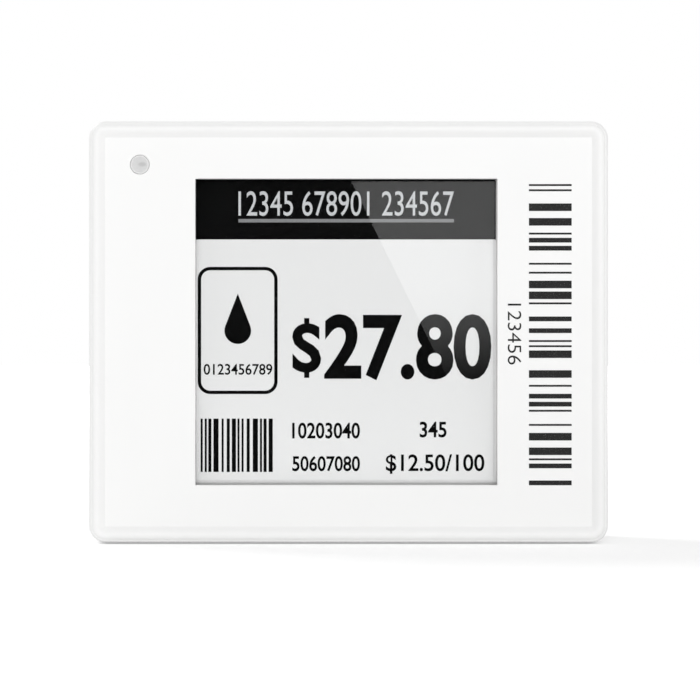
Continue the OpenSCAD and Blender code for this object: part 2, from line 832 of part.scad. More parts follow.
// Dot beside the cap for locked and ring for unlocked
module cap_marks() {
    mark_place_r = recess_r + mark_gap + mark_r;
    translate([bay_x, 0, bay_z]) {
        translate([0, 0, mark_place_r]) disc(mark_r, -mark_depth, cut);
        rotate([0, cap_turn, 0]) translate([0, 0, mark_place_r])
            ring(mark_r - mark_ring, mark_r, -mark_depth, cut);
    }
}

module rear_cover() {
    bay_front_y = board_back_y + contact_h / 2;
    groove_in_y = -rail_lip - rail_gap - rail_web;
    rail_h = body_h - 2 * (rail_depth + rail_web);
    color("white") {
        difference() {
            union() {
                difference() {
                    union() {
                        edged_block(back_points, part_y, 0);
                        slab(body_w - 2 * lip_t - 2 * fit_gap, body_h - 2 * lip_t - 2 * fit_gap,
                            tongue_r, part_y - tongue_l, part_y + cut);
                    }
                    slab(inner_w, inner_h, inner_r, part_y - tongue_l - cut, groove_in_y);
                    slab(inner_w, rail_h, inner_r, groove_in_y - cut, -back_wall_t);
                    rail_grooves();
                }
                translate([bay_x, 0, bay_z]) disc(bay_r, bay_front_y, -back_wall_t / 2);
                for (sx = [-1, 1], sz = [-1, 1])
                    translate([sx * post_x, 0, sz * post_z])
                        disc(post_r, board_back_y, -back_wall_t / 2);
            }
            translate([bay_x, 0, bay_z]) {
                turned([[0, seat_y], [recess_r, seat_y], [recess_r, -cap_edge],
                    [recess_r + cap_edge + cut, cut], [0, cut]]);
                disc(bore_r, bore_end_y, cut);
                disc(guide_r, bay_front_y - cut, cut);
            }
            bar(bay_x - bay_r - cut, bay_x - cell_r + cell_gap, bay_front_y - cut, bore_end_y,
                notch_w, bay_z);
            slab(label_w + 2 * label_gap, label_h + 2 * label_gap, label_r, -label_sink, cut,
                label_x);
            cap_marks();
        }
        translate([bay_x, 0, bay_z]) bayonet_ledges();
        snap_bumps(0);
    }
}

module rear_label() {
    color("gainsboro") slab(label_w, label_h, label_r, -label_sink, -label_sink + label_t, label_x);
}

// Bayonet cap: flange, plug with the O-ring's groove, skirt round the cell and lugs
module battery_cap() {
    flange_end_y = cap_face_y - cap_flange_t;
    color("white") translate([bay_x, 0, bay_z]) {
        difference() {
            turned([[0, cap_face_y], [flange_r - cap_edge, cap_face_y],
                [flange_r, cap_face_y - cap_edge], [flange_r, flange_end_y],
                [plug_r, flange_end_y], [plug_r, groove_top_y], [ring_floor_r, groove_top_y],
                [ring_floor_r, groove_end_y], [plug_r, groove_end_y], [plug_r, plug_end_y],
                [skirt_r, plug_end_y], [skirt_r, lug_end_y], [skirt_in_r, lug_end_y],
                [skirt_in_r, cell_back_y], [0, cell_back_y]]);
            coin_slot();
            translate([0, 0, plug_r - mark_gap]) disc(mark_r, cap_face_y - mark_depth,
                cap_face_y + cut);
        }
        for (i = [0:lug_count - 1]) {
            middle = 90 - i * 360 / lug_count;
            ring(skirt_r - skirt_t / 2, lug_r, lug_end_y, lug_top_y, middle - lug_angle / 2,
                middle + lug_angle / 2);
        }
    }
}

// Slot with a chamfered mouth, whose floor rises in a curve to its two ends
module coin_slot() {
    mouth = slot_w / 2 + cap_edge + cut;
    intersection() {
        translate([-slot_l / 2, cap_face_y, 0]) rotate([90, 0, 90]) linear_extrude(slot_l)
            polygon([[-slot_depth, -slot_w / 2], [-cap_edge, -slot_w / 2], [cut, -mouth],
                [cut, mouth], [-cap_edge, slot_w / 2], [-slot_depth, slot_w / 2]]);
        translate([0, cap_face_y - slot_depth + slot_floor_r, -slot_w])
            cylinder(r = slot_floor_r, h = 2 * slot_w);
    }
}

module cap_o_ring() {
    color("black") translate([bay_x, 0, bay_z]) rotate([90, 0, 0])
        translate([0, 0, -(groove_top_y + groove_end_y) / 2]) rotate_extrude()
            translate([ring_floor_r + ring_d / 2, 0]) circle(d = ring_d);
}

front_cover();
display_lens();
lens_tape();
light_pipe();
display_gasket();
epaper_film();
display_glass();
driver_chip();
display_tail();
tail_stiffener();
foam_pad();
carrier_frame();
main_board();
board_screws();
tail_connector();
connector_pins();
connector_slider();
radio_chip();
memory_chip();
crystals();
boost_coil();
diodes();
small_parts();
status_led();
antenna();
negative_contact();
positive_contact();
cell_can();
cell_core();
cell_seal();
cell_lid();
housing_gasket();
rear_cover();
rear_label();
battery_cap();
cap_o_ring();
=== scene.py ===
"""Electronic shelf label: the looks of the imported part. Sizes are written in millimetres."""

import math

import bmesh
import bpy
from mathutils import Matrix, Vector


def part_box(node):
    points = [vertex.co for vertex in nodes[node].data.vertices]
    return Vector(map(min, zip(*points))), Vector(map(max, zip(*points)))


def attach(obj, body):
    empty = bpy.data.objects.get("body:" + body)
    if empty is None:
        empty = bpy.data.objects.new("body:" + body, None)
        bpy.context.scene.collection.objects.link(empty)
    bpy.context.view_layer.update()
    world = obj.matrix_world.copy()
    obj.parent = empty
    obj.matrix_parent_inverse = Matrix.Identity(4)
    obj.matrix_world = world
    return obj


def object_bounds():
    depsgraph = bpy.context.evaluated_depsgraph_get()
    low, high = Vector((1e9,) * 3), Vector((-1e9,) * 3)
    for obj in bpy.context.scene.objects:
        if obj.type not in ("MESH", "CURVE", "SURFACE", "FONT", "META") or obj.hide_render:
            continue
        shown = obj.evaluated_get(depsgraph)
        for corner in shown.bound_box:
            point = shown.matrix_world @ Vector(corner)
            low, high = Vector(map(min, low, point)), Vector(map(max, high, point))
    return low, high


MM = 0.001

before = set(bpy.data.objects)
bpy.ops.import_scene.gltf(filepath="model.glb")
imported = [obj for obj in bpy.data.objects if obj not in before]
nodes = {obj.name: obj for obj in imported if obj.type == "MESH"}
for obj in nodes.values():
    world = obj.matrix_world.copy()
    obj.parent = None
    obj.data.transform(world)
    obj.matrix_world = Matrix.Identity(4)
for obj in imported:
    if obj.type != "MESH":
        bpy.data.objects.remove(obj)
cad_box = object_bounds()


def span(node):
    """Lowest and highest corner of a node, in millimetres."""
    return tuple(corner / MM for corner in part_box(node))


# Edges of the display's pixels, the window's two sides, and the width of a pixel
LEFT, RIGHT, TOP, BOTTOM = -14.1, 13.5, 14.1, -13.5
WINDOW_LEFT, WINDOW_RIGHT = -14.1, 13.7
PIXEL = 0.138

# Thickness of all print, and the gap that keeps its back off what carries it
PRINT, GAP = 0.012, 0.003

# The flat face, which the light pipe is level with, and where the backs of the print are
FACE_Y = span("light_pipe")[0].y
FACE_PRINT = FACE_Y - GAP
FILM_PRINT = span("epaper_film")[0].y - GAP
HEADER_PRINT = FILM_PRINT - PRINT - 0.002

# Shader sums


class Sum:
    """A value in a material's node tree that the signs + - * / work on."""

    def __init__(self, tree, socket=None):
        self.tree = tree
        self.socket = socket

    def node(self, kind, settings=None, inputs=None, output=0):
        """Adds a node of any kind, sets it and its sockets, and gives one of its outputs."""
        made = self.tree.nodes.new("ShaderNode" + kind)
        for name, value in (settings or {}).items():
            setattr(made, name, value)
        for name, value in (inputs or {}).items():
            if isinstance(value, Sum):
                self.tree.links.new(value.socket, made.inputs[name])
            else:
                made.inputs[name].default_value = value
        return Sum(self.tree, made.outputs[output] if made.outputs else None)

    def maths(self, operation, *values):
        return self.node("Math", {"operation": operation}, dict(enumerate(values)))

    def __add__(self, other):
        return self.maths("ADD", self, other)

    __radd__ = __add__

    def __sub__(self, other):
        return self.maths("SUBTRACT", self, other)

    def __rsub__(self, other):
        return self.maths("SUBTRACT", other, self)

    def __mul__(self, other):
        return self.maths("MULTIPLY", self, other)

    __rmul__ = __mul__

    def __truediv__(self, other):
        return self.maths("DIVIDE", self, other)

    def __mod__(self, other):
        return self.maths("FLOORED_MODULO", self, other)


def absolute(value):
    return value.maths("ABSOLUTE", value)


def larger(first, second):
    return first.maths("MAXIMUM", first, second)


def distance(across, up):
    return across.maths("SQRT", across * across + up * up)


def above(value, level, soft):
    """0 below the level and 1 above it, with a soft step."""
    settings = {"interpolation_type": "SMOOTHSTEP"}
    return value.node(
        "MapRange", settings, {0: value, 1: level - soft / 2, 2: level + soft / 2, 3: 0.0, 4: 1.0}
    )


def within(value, low, high, soft):
    return above(value, low, soft) * (1 - above(value, high, soft))


def mixed(mask, first, second):
    """The first colour where the mask is 0 and the second where it is 1."""
    return mask.node("Mix", {"data_type": "RGBA"}, {0: mask, 6: first, 7: second}, output=2)


def grey(level, warm=0.0):
    return (level * (1 + warm), level, level * (1 - warm), 1.0)


def darker(colour, share):
    return tuple(share * part for part in colour[:3]) + (1.0,)


def start(name):
    """A new material, and an empty value in its node tree to build from."""
    material = bpy.data.materials.new(name)
    material.use_nodes = True
    material.node_tree.nodes.clear()
    return material, Sum(material.node_tree)


def place(base):
    return base.node("TexCoord", output="Object")


def axis(base, letter):
    return base.node("SeparateXYZ", {}, {0: place(base)}, output=letter) / MM


def from_centre(base, node):
    """How far across and up from the centre of a CAD node."""
    low, high = span(node)
    return axis(base, "X") - (low.x + high.x) / 2, axis(base, "Z") - (low.z + high.z) / 2


def grain(base, size, detail=2.0, roughness=0.5, stretch=(1.0, 1.0, 1.0)):
    """Noise whose lumps are about size millimetres across."""
    at = base.node("Mapping", {}, {"Vector": place(base), "Scale": stretch})
    inputs = {"Vector": at, "Scale": 1 / (size * MM), "Detail": detail, "Roughness": roughness}
    return base.node("TexNoise", {}, inputs)


def cells(base, size):
    """Round cells about size millimetres apart."""
    return base.node("TexVoronoi", {}, {"Vector": place(base), "Scale": 1 / (size * MM)})


def rays(base, *kinds):
    """1 for rays of any of these kinds and 0 for others."""
    found = base.node("LightPath", output=f"Is {kinds[0]} Ray")
    for kind in kinds[1:]:
        found = larger(found, base.node("LightPath", output=f"Is {kind} Ray"))
    return found


def bump(base, height, depth, strength):
    """A bump whose height of 1 stands for depth millimetres."""
    return base.node("Bump", {}, {"Strength": strength, "Distance": depth * MM, "Height": height})


def surface(base, shader):
    base.node("OutputMaterial", {}, {"Surface": shader})


def coat(base, colour, roughness, normal=None, **more):
    """The surface shader. Names in more are the shader's own sockets, with _ for a space."""
    inputs = {"Base Color": colour, "Roughness": roughness}
    if normal is not None:
        inputs["Normal"] = normal
    for name, value in more.items():
        inputs[name.replace("_", " ")] = value
    return base.node("BsdfPrincipled", {}, inputs)


# Finishes


def moulded(name, colour, dull, texture, depth):
    """Moulded plastic with a fine sparked texture, faint flow clouds and a slightly uneven sheen."""
    material, base = start(name)
    fine = grain(base, texture, 3.0, 0.6)
    clouds = grain(base, 9.0, 2.0)
    tone = mixed(clouds, colour, darker(colour, 0.985))
    roughness = dull + 0.1 * (fine - 0.5) + 0.06 * (clouds - 0.5)
    normal = bump(base, fine + 0.5 * grain(base, 0.5), depth, 0.35)
    surface(base, coat(base, tone, roughness, normal, IOR=1.46))
    return material


def clear_lens():
    """Clear acrylic that lets the lamps through to the display. Its fine chamfer and its sides, which
    would only double the print behind them, let everything straight through."""
    material, base = start("clear_acrylic")
    rim, soft = 0.22, 0.01
    centre, half = (WINDOW_LEFT + WINDOW_RIGHT) / 2, (WINDOW_RIGHT - WINDOW_LEFT) / 2
    beside = above(absolute(axis(base, "X") - centre), half - rim, soft)
    ends = above(absolute(axis(base, "Z")), TOP - rim, soft)
    scuffs = above(grain(base, 2.5, 4.0, 0.7), 0.62, 0.1)
    shader = coat(base, (0.985, 0.992, 0.99, 1.0), 0.005 + 0.02 * scuffs, IOR=1.49,
                  Transmission_Weight=1.0)
    through = larger(rays(base, "Shadow", "Diffuse"), larger(beside, ends))
    clear = base.node("BsdfTransparent")
    surface(base, base.node("MixShader", {}, {0: through, 1: shader, 2: clear}))
    return material


def paper_film():
    """The display's front: a pale grey film with a fine paper-like grain and a faint pixel grid,
    with painted light that makes it paler towards its foot and its sides, against the shade of the
    window's walls, and greyer beyond its outermost pixels: its border, painted darker partly as painted
    shade of the window's edge."""
    material, base = start("display_paper")
    across, up = axis(base, "X"), axis(base, "Z")
    columns = within((across / PIXEL) % 1.0, 0.03, 0.97, 0.08)
    rows = within((up / PIXEL) % 1.0, 0.03, 0.97, 0.08)
    tone = mixed(grain(base, 0.06, 2.0), grey(0.89), grey(0.94))
    tone = mixed(columns * rows * 0.6 + 0.4, grey(0.88), tone)
    # Painted light: paler near the sides and towards the foot, against the shade that the window's walls
    # cast on the film
    beside = 1 - within(across, LEFT + 0.8, RIGHT - 0.8, 1.6)
    foot = 1 - above(up, -7.0, 16.0)
    tone = mixed(larger(foot, beside) * 0.85, tone, grey(0.99))
    # A grey border beyond the outermost pixels: partly the film's own border, partly painted shade of
    # the window's edge
    right = above(across, RIGHT - 0.14, 0.12)
    left = 1 - above(across, LEFT, 0.06)
    tone = mixed(right * 0.24 + left * 0.6, tone, grey(0.42))
    surface(base, coat(base, tone, 0.62, bump(base, grain(base, 0.05), 0.003, 0.3),
                       Specular_IOR_Level=0.2))
    return material


def screen_ink(name, level):
    """The display's dark pixels: nearly even, and without a gloss of their own under the lens."""
    material, base = start(name)
    tone = mixed(grain(base, 0.07, 2.0), grey(level * 0.8, -0.02), grey(level * 1.25, -0.02))
    surface(base, coat(base, tone, 0.6, bump(base, grain(base, 0.05), 0.002, 0.2),
                       Specular_IOR_Level=0.02))
    return material


def face_ink():
    """Printed bars and digits on the moulded face: dark grey, thin where the texture stands up."""
    material, base = start("face_print")
    worn = above(grain(base, 0.11, 3.0, 0.6), 0.62, 0.12)
    tone = mixed(worn, mixed(grain(base, 1.6), grey(0.012), grey(0.02)), grey(0.07))
    surface(base, coat(base, tone, 0.55 + 0.1 * worn, bump(base, grain(base, 0.09), 0.003, 0.3),
                       Specular_IOR_Level=0.12))
    return material


def frosted_pipe():
    """The frosted face of the light pipe, with the dark lamp faintly seen through it."""
    material, base = start("frosted_pipe")
    lamp_x, lamp_z, flat = 0.22, 0.02, 1.7
    across, up = from_centre(base, "light_pipe")
    edge = above(distance(across, up), 0.74, 0.16)
    lamp = 1 - above(distance(across - lamp_x, (up - lamp_z) * flat), 0.33, 0.4)
    cloud = grain(base, 0.28, 3.0, 0.6)
    tone = mixed(edge, mixed(cloud, grey(0.58), grey(0.69)), grey(0.78))
    tone = mixed(lamp * 0.75, tone, grey(0.45))
    normal = bump(base, cloud + grain(base, 0.07), 0.01, 0.4)
    surface(base, coat(base, tone, 0.28 + 0.15 * cloud, normal, Subsurface_Weight=0.2,
                       Subsurface_Radius=(0.6, 0.6, 0.6), Subsurface_Scale=0.6 * MM))
    return material


def pad_foam():
    """Grey foam with open cells."""
    material, base = start("grey_foam")
    open_cells = cells(base, 0.11)
    tone = mixed(open_cells, grey(0.168), grey(0.35))
    surface(base, coat(base, tone, 0.85 - 0.1 * open_cells, bump(base, open_cells, 0.03, 0.6),
                       Sheen_Weight=0.15))
    return material


def gasket_foam():
    """Pale foam round the display, with painted shade that greys it at the foot of the window."""
    material, base = start("pale_foam")
    open_cells = cells(base, 0.11)
    # Painted shade: grey at the foot of the window, where the lens's lower edge shades the foam
    foot = 1 - above(axis(base, "Z"), BOTTOM - 0.42, 0.34)
    tone = mixed(foot, mixed(open_cells, grey(0.78), grey(0.92)), grey(0.46))
    surface(base, coat(base, tone, 0.85 - 0.1 * open_cells, bump(base, open_cells, 0.01, 0.4)))
    return material


def tape():
    material, base = start("white_tape")
    fibres = grain(base, 0.2, 4.0, 0.7, (1.0, 1.0, 0.25))
    surface(base, coat(base, mixed(fibres, grey(0.74), grey(0.86)), 0.5 + 0.2 * fibres,
                       bump(base, fibres, 0.01, 0.4)))
    return material


def rubber(name, level):
    """Moulded rubber with a dusty bloom."""
    material, base = start(name)
    bloom = grain(base, 1.4, 4.0, 0.65)
    tone = mixed(above(bloom, 0.55, 0.3), grey(level), grey(level * 1.7))
    surface(base, coat(base, tone, 0.5 + 0.25 * bloom, bump(base, grain(base, 0.08), 0.004, 0.3)))
    return material


def panel_glass():
    """Glass backplane with its fine tracks running towards the bonded edge."""
    material, base = start("panel_glass")
    pitch, margin, length = 0.12, 1.0, 5.2
    right = span("display_glass")[1].x
    bonded = within(axis(base, "X"), right - margin - length, right - margin, 0.1)
    tracks = within((axis(base, "Z") / pitch) % 1.0, 0.25, 0.75, 0.15) * bonded
    tone = mixed(tracks, (0.36, 0.44, 0.43, 1.0), (0.62, 0.66, 0.62, 1.0))
    shine = 0.06 + 0.05 * grain(base, 3.0)
    surface(base, coat(base, tone, shine, Metallic=0.15, Coat_Weight=0.4))
    return material


def package(name, level, node, inset):
    """Black moulded package with a matt laser-cleaned panel and a round dimple at one corner."""
    material, base = start(name)
    low, high = span(node)
    across, up = axis(base, "X") - (low.x + inset), axis(base, "Z") - (high.z - inset)
    dimple = 1 - above(distance(across, up), inset * 0.42, 0.06)
    fine = grain(base, 0.06, 3.0, 0.6)
    tone = mixed(fine, grey(level), grey(level * 1.5))
    tone = mixed(dimple, tone, grey(level * 2.6))
    normal = bump(base, fine * 0.2 - dimple, 0.03, 0.6)
    surface(base, coat(base, tone, 0.35 + 0.25 * fine - 0.15 * dimple, normal))
    return material


def silicon():
    """Bare silicon with a row of paler pads."""
    material, base = start("driver_silicon")
    pitch = 0.3
    pads = within((axis(base, "Z") / pitch) % 1.0, 0.3, 0.7, 0.15)
    tone = mixed(pads, (0.045, 0.05, 0.06, 1.0), (0.11, 0.11, 0.12, 1.0))
    surface(base, coat(base, tone, 0.12 + 0.1 * pads, Metallic=0.3))
    return material


def flexible_tail():
    """Amber film over copper tracks that run along the tail."""
    material, base = start("amber_tail")
    pitch = 0.5
    tracks = within((axis(base, "Z") / pitch) % 1.0, 0.2, 0.68, 0.08)
    tone = mixed(tracks, (0.44, 0.18, 0.03, 1.0), (0.72, 0.34, 0.08, 1.0))
    tone = mixed(grain(base, 1.5) * 0.35, tone, (0.36, 0.15, 0.03, 1.0))
    normal = bump(base, tracks, 0.018, 0.7)
    surface(base, coat(base, tone, 0.3 - 0.08 * tracks, normal, Coat_Weight=0.5))
    return material


def stiffener():
    material, base = start("blue_stiffener")
    weave = grain(base, 0.14, 3.0, 0.6, (1.0, 1.0, 0.3))
    surface(base, coat(base, mixed(weave, (0.03, 0.1, 0.36, 1.0), (0.07, 0.19, 0.52, 1.0)),
                       0.45 + 0.15 * weave, bump(base, weave, 0.01, 0.4)))
    return material


def green_board():
    """Solder mask over routed copper, with bare plated pads here and there and cut glass-fibre edges."""
    material, base = start("green_board")
    run_pitch, cross_pitch, via_pitch = 0.9, 1.3, 2.1
    low, high = span("main_board")
    across, up, depth = axis(base, "X"), axis(base, "Z"), axis(base, "Y")
    bend = grain(base, 7.0, 1.0) * 5.0
    run = within(((across + bend) / run_pitch) % 1.0, 0.30, 0.58, 0.08)
    cross = within(((up + bend * 0.6) / cross_pitch) % 1.0, 0.36, 0.60, 0.08)
    region = above(grain(base, 5.5, 1.0), 0.5, 0.02)
    copper = base.maths("MINIMUM", run * region + cross * (1 - region), 1.0)
    via = 1 - above(cells(base, via_pitch), 0.13, 0.05)
    mask = mixed(copper, (0.008, 0.085, 0.035, 1.0), (0.022, 0.19, 0.075, 1.0))
    mask = mixed(via, mask, (0.62, 0.56, 0.40, 1.0))
    cut = 1 - within(depth, low.y + 0.05, high.y - 0.05, 0.02)
    tone = mixed(cut, (0.42, 0.40, 0.22, 1.0), mask)
    normal = bump(base, copper * 0.6 + via * 0.4, 0.035, 0.7)
    surface(base, coat(base, tone, 0.3 + 0.12 * grain(base, 0.6), normal, Metallic=via * cut,
                       Coat_Weight=0.25))
    return material


def metal(name, colour, shine, brushed=(1.0, 1.0, 1.0)):
    """Metal with fine drawn marks and a faint tarnish."""
    material, base = start(name)
    marks = grain(base, 0.12, 4.0, 0.65, brushed)
    stain = grain(base, 2.2, 3.0, 0.6)
    tone = mixed(stain, colour, darker(colour, 0.85))
    surface(base, coat(base, tone, shine + 0.22 * marks + 0.08 * stain,
                       bump(base, marks, 0.006, 0.4), Metallic=1.0))
    return material


def turned_steel():
    """Coin cell steel with round drawing marks about the cell's axis and a stamped plus sign."""
    material, base = start("cell_steel")
    half_width, reach, soft = 0.3, 2.0, 0.06
    across, up = from_centre(base, "cell_can")
    rings = base.node("TexNoise", {"noise_dimensions": "1D"},
                      {"W": distance(across, up) * 9.0, "Detail": 3.0})
    stain = grain(base, 3.5, 3.0, 0.6)
    beside, over = absolute(across), absolute(up)
    upright = (1 - above(beside, half_width, soft)) * (1 - above(over, reach, soft))
    level = (1 - above(over, half_width, soft)) * (1 - above(beside, reach, soft))
    tone = mixed(stain, (0.66, 0.655, 0.64, 1.0), (0.55, 0.545, 0.53, 1.0))
    normal = bump(base, rings * 0.15 - larger(upright, level), 0.06, 0.6)
    surface(base, coat(base, tone, 0.2 + 0.18 * rings + 0.08 * stain, normal, Metallic=1.0))
    return material


def pressed_powder():
    material, base = start("cell_powder")
    lumps = grain(base, 0.25, 5.0, 0.7)
    surface(base, coat(base, mixed(lumps, grey(0.03), grey(0.12)), 0.75 + 0.15 * lumps,
                       bump(base, lumps, 0.05, 0.6)))
    return material


def ferrite():
    """Dark ferrite with plated ends."""
    material, base = start("coil_ferrite")
    body_half = 1.15
    _, up = from_centre(base, "boost_coil")
    ends = above(absolute(up), body_half, 0.05)
    lumps = grain(base, 0.12, 4.0, 0.6)
    tone = mixed(ends, mixed(lumps, grey(0.05), grey(0.1)), (0.7, 0.69, 0.66, 1.0))
    surface(base, coat(base, tone, 0.65 - 0.3 * ends, bump(base, lumps, 0.02, 0.5), Metallic=ends))
    return material


def banded(name, body, band, node, pitch, size, end):
    """Small board parts with bright soldered ends, in a row along X: their pitch and size there, and
    the length of each end."""
    material, base = start(name)
    along = (axis(base, "X") - span(node)[0].x) % pitch
    ends = larger(1 - above(along, end, 0.04), within(along, size - end, size + 0.05, 0.04))
    fine = grain(base, 0.08, 3.0, 0.6)
    tone = mixed(ends, mixed(fine, body, darker(body, 0.75)), band)
    surface(base, coat(base, tone, 0.55 - 0.3 * ends + 0.1 * fine, bump(base, fine, 0.01, 0.4),
                       Metallic=ends))
    return material


def label_film():
    """Matt silver-white label film with a fine fibre and a lightly printed edge line."""
    material, base = start("label_film")
    line_inset, line_width = 0.80, 0.15
    low, high = span("rear_label")
    half_w, half_h = (high.x - low.x) / 2, (high.z - low.z) / 2
    across, up = from_centre(base, "rear_label")
    edge = larger(absolute(across) + (half_h - half_w), absolute(up))
    line = within(edge, half_h - line_inset - line_width, half_h - line_inset, 0.04)
    fibre = grain(base, 0.3, 5.0, 0.7, (1.0, 1.0, 0.35))
    tone = mixed(fibre, grey(0.80), grey(0.88))
    tone = mixed(line * 0.8, tone, grey(0.3))
    surface(base, coat(base, tone, 0.5 + 0.15 * fibre, bump(base, fibre, 0.006, 0.35)))
    return material


def lamp_body():
    """A white lamp body with a round amber gel and plated ends."""
    material, base = start("lamp_body")
    gel_radius, body_half = 0.3, 0.62
    across, up = from_centre(base, "status_led")
    gel = 1 - above(distance(across, up), gel_radius, 0.08)
    ends = above(absolute(across), body_half, 0.04)
    tone = mixed(gel, grey(0.82), (0.86, 0.78, 0.34, 1.0))
    tone = mixed(ends, tone, grey(0.66))
    surface(base, coat(base, tone, 0.35 - 0.15 * gel + 0.05 * grain(base, 0.1), Metallic=ends))
    return material


# Smooth shading and fine edges of the CAD nodes


def smooth_group():
    """Node group that shades a CAD mesh smooth and keeps its edges over 28 degrees sharp."""
    tree = bpy.data.node_groups.new("smooth_by_angle", "GeometryNodeTree")
    tree.interface.new_socket("Mesh", in_out="INPUT", socket_type="NodeSocketGeometry")
    tree.interface.new_socket("Mesh", in_out="OUTPUT", socket_type="NodeSocketGeometry")
    first, last = tree.nodes.new("NodeGroupInput"), tree.nodes.new("NodeGroupOutput")
    faces = tree.nodes.new("GeometryNodeSetShadeSmooth")
    edges = tree.nodes.new("GeometryNodeSetShadeSmooth")
    edges.domain = "EDGE"
    angle = tree.nodes.new("GeometryNodeInputMeshEdgeAngle")
    flat = tree.nodes.new("FunctionNodeCompare")
    flat.operation = "LESS_THAN"
    flat.inputs[1].default_value = math.radians(28)
    tree.links.new(angle.outputs[0], flat.inputs[0])
    tree.links.new(first.outputs[0], faces.inputs[0])
    tree.links.new(faces.outputs[0], edges.inputs[0])
    tree.links.new(flat.outputs[0], edges.inputs["Shade Smooth"])
    tree.links.new(edges.outputs[0], last.inputs[0])
    return tree


SMOOTH = smooth_group()


def dress(node, material, edge=0.0):
    """Gives a CAD node its finish, smooth shading and, with edge, fine rounded edges."""
    target = nodes[node]
    target.data.materials.clear()
    target.data.materials.append(material)
    weld = target.modifiers.new("weld", "WELD")
    weld.merge_threshold = 0.0005 * MM
    if edge:
        flatten = target.modifiers.new("flatten", "DECIMATE")
        flatten.decimate_type = "DISSOLVE"
        flatten.angle_limit = math.radians(0.4)
        bevel = target.modifiers.new("edges", "BEVEL")
        bevel.width = edge * MM
        bevel.segments = 2
        bevel.limit_method = "ANGLE"
        bevel.angle_limit = math.radians(38)
    smooth = target.modifiers.new("smooth", "NODES")
    smooth.node_group = SMOOTH
    normals = target.modifiers.new("normals", "WEIGHTED_NORMAL")
    normals.keep_sharp = True


# Pieces made here: the print


def new_object(name, shape, material):
    """An object with one finish, made of a finished shape."""
    mesh = bpy.data.meshes.new(name)
    shape.to_mesh(mesh)
    shape.free()
    mesh.materials.append(material)
    made = bpy.data.objects.new(name, mesh)
    bpy.context.scene.collection.objects.link(made)
    return made


def piece(name, shape, material):
    """Makes a piece of a finished shape and lets it ride on the housing."""
    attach(new_object(name, shape, material), "housing")


def add_slab(shape, box, back):
    """Adds an upright slab of print that fills a box of x0, x1, z0, z1, with its back at y = back."""
    x0, x1, z0, z1 = box
    centre = Vector(((x0 + x1) / 2, back - PRINT / 2, (z0 + z1) / 2)) * MM
    size = Matrix.Diagonal(((x1 - x0) * MM, PRINT * MM, (z1 - z0) * MM, 1.0))
    bmesh.ops.create_cube(shape, size=1.0, matrix=Matrix.Translation(centre) @ size)


def add_digits(shape, text, box, back, weight, turned=False):
    """Adds digits that fill a box of x0, x1, z0, z1, with their back at y = back. The weight makes
    their strokes wider."""
    x0, x1, z0, z1 = box
    curve = bpy.data.curves.new("digits", "FONT")
    curve.body = text
    curve.offset = weight
    curve.extrude = 0.5
    curve.resolution_u = 5
    holder = bpy.data.objects.new("digits", curve)
    bpy.context.scene.collection.objects.link(holder)
    bpy.context.view_layer.update()
    mesh = bpy.data.meshes.new_from_object(
        holder.evaluated_get(bpy.context.evaluated_depsgraph_get())
    )
    bpy.data.objects.remove(holder)
    bpy.data.curves.remove(curve)
    part = bmesh.new()
    part.from_mesh(mesh)
    bpy.data.meshes.remove(mesh)
    bmesh.ops.remove_doubles(part, verts=part.verts, dist=1e-5)
    if turned:
        bmesh.ops.rotate(part, verts=part.verts, matrix=Matrix.Rotation(-math.pi / 2, 3, "Z"))
    low = Vector(min(v.co[i] for v in part.verts) for i in range(3))
    high = Vector(max(v.co[i] for v in part.verts) for i in range(3))
    bmesh.ops.translate(part, verts=part.verts, vec=-(low + high) / 2)
    size = high - low
    scale = Vector(((x1 - x0) / size.x, (z1 - z0) / size.y, PRINT / size.z)) * MM
    bmesh.ops.scale(part, verts=part.verts, vec=scale)
    bmesh.ops.rotate(part, verts=part.verts, matrix=Matrix.Rotation(math.pi / 2, 3, "X"))
    centre = Vector(((x0 + x1) / 2, back - PRINT / 2, (z0 + z1) / 2)) * MM
    bmesh.ops.translate(part, verts=part.verts, vec=centre)
    bmesh.ops.recalc_face_normals(part, faces=part.faces)
    done = bpy.data.meshes.new("digits")
    part.to_mesh(done)
    part.free()
    shape.from_mesh(done)
    bpy.data.meshes.remove(done)


def bar_run(count, bars, gaps):
    """Start and end of each bar, as shares of the run, from two short rules for widths."""
    widths = [bars[i * 3 % len(bars)] for i in range(count)]
    spaces = [gaps[i * 2 % len(gaps)] for i in range(count)]
    total = sum(widths) + sum(spaces[:-1])
    at, runs = 0.0, []
    for width, space in zip(widths, spaces):
        runs.append((at / total, (at + width) / total))
        at += width + space
    return runs


def stacked_bars(name, runs, box, back, material):
    """A piece of bars above one another that fill a box, from its top down."""
    x0, x1, z0, z1 = box
    shape = bmesh.new()
    for first, last in runs:
        add_slab(shape, (x0, x1, z1 - (z1 - z0) * last, z1 - (z1 - z0) * first), back)
    piece(name, shape, material)


def stand_up(shape, x, z, back):
    """Thickens a flat shape of print and stands it upright at x and z, with its back at y = back."""
    grown = bmesh.ops.extrude_face_region(shape, geom=list(shape.faces))["geom"]
    bmesh.ops.translate(shape, verts=[g for g in grown if isinstance(g, bmesh.types.BMVert)],
                        vec=Vector((0, 0, PRINT * MM)))
    bmesh.ops.recalc_face_normals(shape, faces=shape.faces)
    bmesh.ops.rotate(shape, verts=shape.verts, matrix=Matrix.Rotation(math.pi / 2, 3, "X"))
    bmesh.ops.translate(shape, verts=shape.verts, vec=Vector((x, back, z)) * MM)
    return shape


